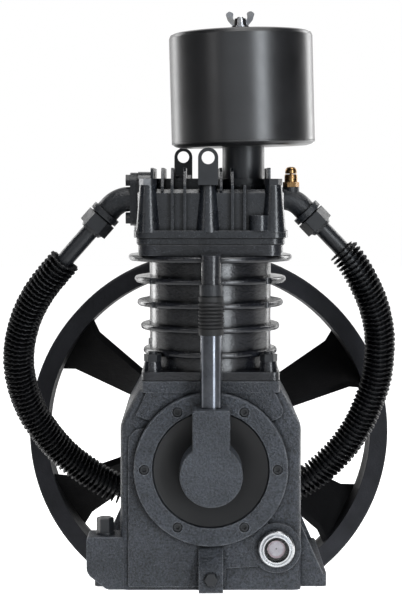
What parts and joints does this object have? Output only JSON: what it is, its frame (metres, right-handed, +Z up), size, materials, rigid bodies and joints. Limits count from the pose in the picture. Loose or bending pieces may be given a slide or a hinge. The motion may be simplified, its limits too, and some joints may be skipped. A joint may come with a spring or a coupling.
{
  "type": "two-stage air compressor pump",
  "caption": "Belt-driven two-stage reciprocating air compressor pump with fan-bladed flywheel, finned intercooler loop and intake filter canister.",
  "frame": {"origin": "centre of the four foot bolt holes on the base plane", "axes": "+Z up along the cylinders, +Y from the front bearing cover to the flywheel along the crankshaft, +X to the right seen from the front cover"},
  "size_m": [0.4786, 0.378, 0.7444],
  "materials": {
    "rough_cast": "rough sand-cast iron, dark blue-grey satin enamel",
    "block_cast": "cast iron, dark satin enamel with bright edges",
    "head_cast": "cast iron, glossy black enamel",
    "flywheel_paint": "cast iron, satin black enamel",
    "black_steel": "black oxide steel",
    "fin_paint": "black painted fin strip",
    "can_paint": "semi-gloss black powder coat",
    "filter_paper": "pleated paper",
    "zinc_plate": "bright zinc plate",
    "machined_steel": "ground and oiled steel",
    "tube_steel": "dark polished steel tube",
    "aluminium": "turned aluminium",
    "rod_iron": "bare ductile iron",
    "brass": "turned brass",
    "black_rubber": "matt black rubber",
    "gasket": "dark fibre gasket",
    "bright_ring": "bright plated ring",
    "sight_lens": "clear lens",
    "reflector": "pale reflector disc",
    "fitting_black": "black moulded fitting"
  },
  "bodies": {
    "pump_frame": {"crankcase": "rough_cast", "front_cover": "rough_cast", "front_cover_gasket": "gasket", "front_cover_screws": "black_steel", "front_bearing": "machined_steel", "rear_bearing": "machined_steel", "rear_bearing_cover": "black_steel", "rear_cover_screws": "black_steel", "oil_seal": "black_rubber", "sight_glass_bezel": "bright_ring", "sight_glass_lens": "sight_lens", "sight_glass_reflector": "reflector", "drain_plug": "black_steel", "cylinder_block": "block_cast", "cylinder_base_gasket": "gasket", "cylinder_base_nuts": "black_steel", "lower_head_gasket": "gasket", "valve_plate": "head_cast", "upper_head_gasket": "gasket", "reed_valves": "machined_steel", "cylinder_head": "head_cast", "head_bolts": "black_steel", "front_lifting_lug": "black_steel", "rear_lifting_lug": "black_steel", "intake_neck": "black_steel", "filter_base": "can_paint", "filter_element": "filter_paper", "filter_stud": "zinc_plate", "left_elbow": "rough_cast", "left_elbow_gasket": "gasket", "left_elbow_bolts": "black_steel", "right_elbow": "rough_cast", "left_tube_nut": "black_steel", "right_tube_nut": "black_steel", "intercooler_tube": "black_steel", "intercooler_fins": "fin_paint", "relief_valve_body": "brass", "relief_valve_spring": "machined_steel", "breather_tube": "tube_steel", "breather_boot": "black_rubber", "breather_fitting": "fitting_black"},
    "crank_assembly": {"crankshaft": "machined_steel", "flywheel": "flywheel_paint", "flywheel_key": "machined_steel", "flywheel_washer": "black_steel", "flywheel_bolt": "black_steel"},
    "first_stage_piston_assembly": {"first_stage_piston": "aluminium", "first_stage_piston_rings": "machined_steel", "first_stage_wrist_pin": "machined_steel", "first_stage_connecting_rod": "rod_iron", "first_stage_rod_cap": "rod_iron"},
    "second_stage_piston_assembly": {"second_stage_piston": "aluminium", "second_stage_piston_rings": "machined_steel", "second_stage_wrist_pin": "machined_steel", "second_stage_connecting_rod": "rod_iron", "second_stage_rod_cap": "rod_iron"},
    "filter_cover": {"filter_cover": "can_paint"},
    "wing_nut": {"wing_nut": "zinc_plate"},
    "relief_stem": {"relief_valve_stem": "brass"},
    "oil_filler_plug": {"oil_filler_plug": "black_steel"}
  },
  "joints": [
    {"name": "crank_spin", "type": "hinge", "parent": "pump_frame", "child": "crank_assembly", "pos_m": [0, 0, 0.1375], "axis": [0, 1, 0], "continuous": true, "deforming": ["first_stage_connecting_rod", "first_stage_rod_cap", "second_stage_connecting_rod", "second_stage_rod_cap"]},
    {"name": "first_stage_piston_slide", "type": "slide", "parent": "pump_frame", "child": "first_stage_piston_assembly", "axis": [0, 0, 1], "range_m": [-0.07, 0]},
    {"name": "second_stage_piston_slide", "type": "slide", "parent": "pump_frame", "child": "second_stage_piston_assembly", "axis": [0, 0, 1], "range_m": [0, 0.07]},
    {"name": "filter_cover_lift", "type": "slide", "parent": "pump_frame", "child": "filter_cover", "axis": [-0.0262, 0, 0.9997], "range_m": [0, 0.16]},
    {"name": "wing_nut_turn", "type": "hinge", "parent": "filter_cover", "child": "wing_nut", "pos_m": [0.0386, -0.022, 0.497], "axis": [-0.0262, 0, 0.9997], "continuous": true},
    {"name": "relief_pull", "type": "slide", "parent": "pump_frame", "child": "relief_stem", "axis": [0, 0, 1], "range_m": [0, 0.003], "stiffness_N_per_m": 2000, "springref_m": -0.004, "deforming": ["relief_valve_spring"]},
    {"name": "oil_plug_lift", "type": "slide", "parent": "pump_frame", "child": "oil_filler_plug", "axis": [0, 0, 1], "range_m": [0, 0.05]}
  ]
}
